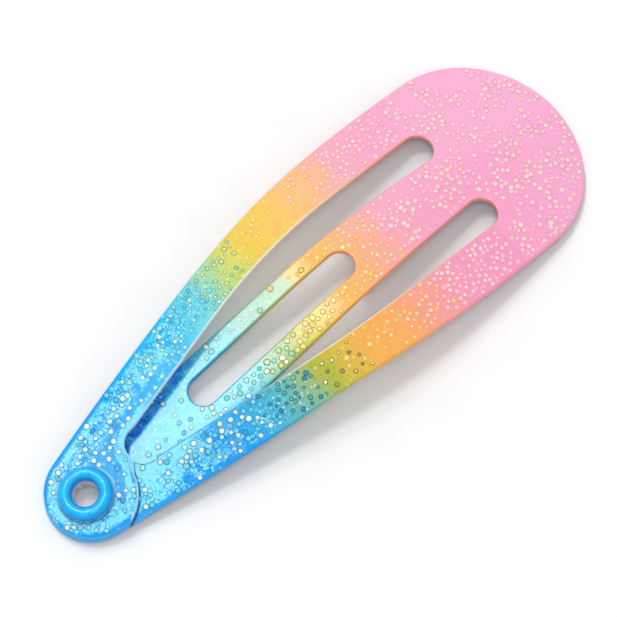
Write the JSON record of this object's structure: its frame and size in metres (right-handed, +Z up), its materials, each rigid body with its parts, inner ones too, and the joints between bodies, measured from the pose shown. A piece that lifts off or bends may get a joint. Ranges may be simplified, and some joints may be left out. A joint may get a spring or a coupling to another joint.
{
  "type": "snap hair clip",
  "caption": "Snap hair clip in thin bowed spring steel: broad rounded head, slotted tongue and side arms joined at the tip by an eyelet, blue-to-pink glitter enamel.",
  "frame": {"origin": "middle of the clip's length and width, on the surface that it lies on", "axes": "+X from the eyelet's tip towards the broad head, +Y towards the arm whose lobe lies on top, +Z up from the surface"},
  "size_m": [0.05, 0.0172, 0.0044],
  "materials": {
    "head_enamel": "glossy glitter enamel, pink head fading to a pale yellow and cyan tongue",
    "left_arm_enamel": "glossy glitter enamel, blue tip fading through teal, green and gold to pink",
    "right_arm_enamel": "glossy glitter enamel, blue tip fading through teal, olive and orange to pink",
    "eyelet_enamel": "smooth glossy blue enamel"
  },
  "bodies": {
    "blade": {"head_and_tongue": "head_enamel"},
    "arms": {"left_arm": "left_arm_enamel", "right_arm": "right_arm_enamel", "eyelet": "eyelet_enamel"}
  },
  "joints": [
    {"name": "snap_open", "type": "hinge", "parent": "blade", "child": "arms", "pos_m": [0.01446, 0, 0.0024], "axis": [0, 1, 0], "range_deg": [0, 20]}
  ]
}
